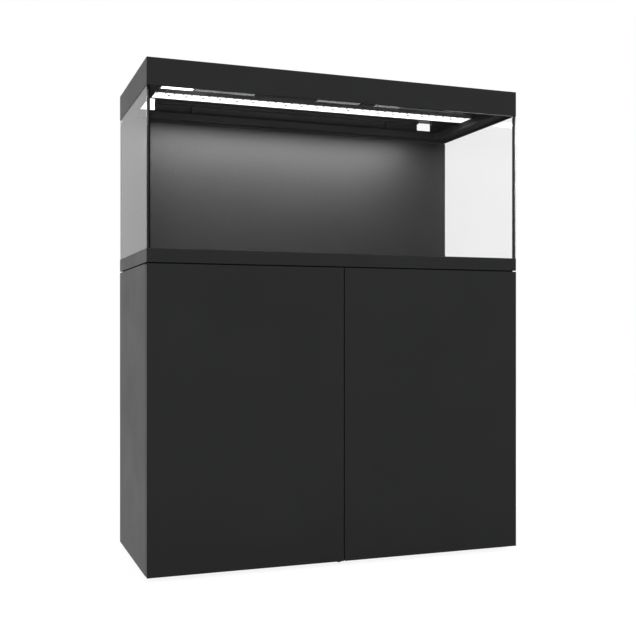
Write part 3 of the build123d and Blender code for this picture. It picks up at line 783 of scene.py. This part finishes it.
phosphor = grained(
    "phosphor",
    dark=(0.8, 0.66, 0.2, 1),
    pale=(0.9, 0.8, 0.4, 1),
    rough=(0.3, 0.45),
    per_metre=2500,
    depth=0.00003,
    values={"Emission Color": (1, 0.95, 0.85, 1), "Emission Strength": 1.0},
    drift=300.0,
)
dress(phosphor, "leds")

# Only the cover's flat faces glow: its notched edge is painted black as painted shade for the notches, so
# the notches read dark
COVER_GLOW = 1.02
COVER_WHITE = (0.85, 0.86, 0.87, 1)
COVER_EDGE_SHADE = tint(0.01)
cover_lit = grained(
    "cover_lit",
    dark=COVER_WHITE,
    pale=COVER_WHITE,
    rough=(0.3, 0.42),
    per_metre=1200,
    depth=0.00002,
    values={"Emission Color": WHITE},
)
cover_tree = cover_lit.node_tree
cover_flat = along(cover_tree, "Z")
feed(cover_lit, "Emission Strength", worked_out(cover_tree, "MULTIPLY", cover_flat, COVER_GLOW))
# The cover's edge faces get a painted shade colour
feed(cover_lit, "Base Color", blended(cover_tree, cover_flat, COVER_EDGE_SHADE, COVER_WHITE))
dress(cover_lit, "light_cover")

light_plastic = grained(
    "light_plastic",
    dark=tint(0.02),
    pale=tint(0.028),
    rough=(0.46, 0.6),
    per_metre=1800,
    depth=0.00004,
    # The paler edge colour is wear and a painted highlight
    worn_edge_and_sheen=tint(0.06),
)
dress(light_plastic, "light_end_caps", "cable_gland")

# Rivets hold the cover, one for every two notches
RIVET_Y = -0.008
RIVET_COUNT = 19
RIVET = {"Radius": 0.0042, "Height": 0.0024, "Crown": 0.0014, "Recess": 0.0}
rivet_plastic = grained(
    "rivet_plastic",
    dark=tint(0.48),
    pale=tint(0.54),
    rough=(0.4, 0.5),
    per_metre=800,
    depth=0.00002,
    drift=200.0,
)
cover_low, cover_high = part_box("light_cover")
rivet_places = [(index - (RIVET_COUNT - 1) / 2) * LED_PITCH for index in range(RIVET_COUNT)]
rivets = [((x, RIVET_Y, cover_low.z), DOWN) for x in rivet_places]
turned_set("cover_rivets", "stand", rivet_plastic, rivets, RIVET)

# Screws in the ends of the bar
LEFTWARD = (-1, 0, 0)
CAP_SCREW_SIDE = 0.01
CAP_SCREW = {"Radius": 0.0027, "Height": 0.0014, "Crown": 0.0007, "Recess": 0.0006}
cap_low, cap_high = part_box("light_end_caps")
cap_spot = (cap_low.x, cap_low.y + CAP_SCREW_SIDE, (cap_low.z + cap_high.z) / 2)
cap_screws = mirrored(mirrored([(cap_spot, LEFTWARD)], X), Y)
turned_set("cap_screws", "stand", zinc_steel, cap_screws, CAP_SCREW)


def flat_lamp(name, place, size, power):
    """A rectangular lamp that isn't seen itself and, until it is turned, shines straight down."""
    lamp = bpy.data.objects.new(name, bpy.data.lights.new(name, "AREA"))
    lamp.data.shape = "RECTANGLE"
    lamp.data.size, lamp.data.size_y = size
    lamp.data.energy = power
    lamp.location = place
    lamp.visible_camera = False
    lamp.visible_transmission = False
    scene.collection.objects.link(lamp)
    return lamp


# The lit cover throws its light down through this lamp, which keeps clear of the ledges
STRIP_POWER = 11.5
STRIP_SPREAD = 165.0
STRIP_DROP = 0.0028
STRIP_END_GAP = 0.045
strip_size = (cover_high.x - cover_low.x - 2 * STRIP_END_GAP, cover_high.y - cover_low.y)
strip_place = (0, (cover_low.y + cover_high.y) / 2, cover_low.z - STRIP_DROP)
strip = flat_lamp("strip_lamp", strip_place, strip_size, STRIP_POWER)
strip.data.spread = math.radians(STRIP_SPREAD)

# The base frame's rounded lip stays out of this lamp's light, or it would catch a bright line
strip_skips = bpy.data.collections.new("strip_skips")
strip_skips.objects.link(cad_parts["base_frame"])
strip.light_linking.receiver_collection = strip_skips
strip_skips.collection_objects[0].light_linking.link_state = "EXCLUDE"

# Light that comes back up from the tank reaches the rear rail and the inside of the hood
BOUNCE_POWER = 0.6
BOUNCE_SIZE = (0.84, 0.06)
BOUNCE_DROP = 0.07
BOUNCE_TILT = 127.0
bounce_place = (0, cover_high.y, cover_low.z - BOUNCE_DROP)
bounce = flat_lamp("bounce_lamp", bounce_place, BOUNCE_SIZE, BOUNCE_POWER)
bounce.rotation_euler = (math.radians(BOUNCE_TILT), 0, 0)
bounce.visible_glossy = False

# The hood: a black moulded fascia with a deck let into its top, lifted off by hand. Steel rods carry the
# two flaps.
dress(frame_black, "hood_frame", "hood_deck")
dress(zinc_steel, "flap_rods")

# The covers: smoked clear plastic, with finger holds to move them by. One slides in grooves over the
# feeding hole and two are flaps hinged on the rods.
SMOKE_DARK = (0.115, 0.115, 0.118, 1)
SMOKE_PALE = (0.135, 0.135, 0.138, 1)
SMOKE_IOR = 1.45
SMOKE_DRIFT = 9.0
smoked = see_through("smoked", {"Base Color": SMOKE_DARK, "IOR": SMOKE_IOR})
smoke_tree = smoked.node_tree
smoke_drift = node(smoke_tree, "ShaderNodeGroup", {"Drift": SMOKE_DRIFT}, node_tree=grain)
feed(smoked, "Base Color", blended(smoke_tree, smoke_drift.outputs["Drift"], SMOKE_DARK, SMOKE_PALE))
dress(smoked, "feed_cover", "middle_flap", "right_flap")

# Grip ribs in the feed cover's finger hollow: a rod of unit size, laid across and scaled, at each point of
# a row
RIB_PITCH = 0.006
RIB_COUNT = 7
RIB_SIZE = (0.0095, 0.0018, 0.0011)
RIB_SIDES = 12
RIB_FROM_EDGE = 0.030
HOLLOW_DEPTH = 0.0012
ribs, ribs_in, ribs_out = group(
    "grip_ribs",
    {"Start": "Geometry", "Count": "Int", "Pitch": "Float", "Size": "Vector", "Finish": "Material"},
    {"Pieces": "Geometry"},
    "GeometryNodeTree",
)
rib_step = node(ribs, "ShaderNodeCombineXYZ", {"Y": ribs_in.outputs["Pitch"]}).outputs[0]
rib_line = node(ribs, "GeometryNodeMeshLine", {"Count": ribs_in.outputs["Count"], "Offset": rib_step})
rib_rows = node(
    ribs,
    "GeometryNodeInstanceOnPoints",
    {"Points": ribs_in.outputs["Start"], "Instance": rib_line.outputs[0]},
)
rib_points = node(ribs, "GeometryNodeRealizeInstances", {0: rib_rows.outputs[0]})
rib_rod = node(ribs, "GeometryNodeMeshCylinder", {"Vertices": RIB_SIDES, "Radius": 0.5, "Depth": 1.0})
rib_laid = node(
    ribs,
    "GeometryNodeTransform",
    {"Geometry": rib_rod.outputs[0], "Rotation": (0, math.pi / 2, 0)},
)
rib_sized = node(
    ribs,
    "GeometryNodeTransform",
    {"Geometry": rib_laid.outputs[0], "Scale": ribs_in.outputs["Size"]},
)
rib_set = node(
    ribs,
    "GeometryNodeInstanceOnPoints",
    {"Points": rib_points.outputs[0], "Instance": rib_sized.outputs[0]},
)
completed(ribs, rib_set.outputs[0], ribs_in.outputs["Finish"], ribs_out.inputs["Pieces"])
feed_low, feed_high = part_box("feed_cover")
rib_y = (feed_low.y + feed_high.y) / 2 - RIB_PITCH * (RIB_COUNT - 1) / 2
rib_start = bpy.data.meshes.new("grip_ribs")
rib_start.from_pydata([(feed_low.x + RIB_FROM_EDGE, rib_y, feed_high.z - HOLLOW_DEPTH)], [], [])
rib_values = {"Count": RIB_COUNT, "Pitch": RIB_PITCH, "Size": RIB_SIZE, "Finish": smoked}
grown("grip_ribs", ribs, rib_start, rib_values, "feed_cover")
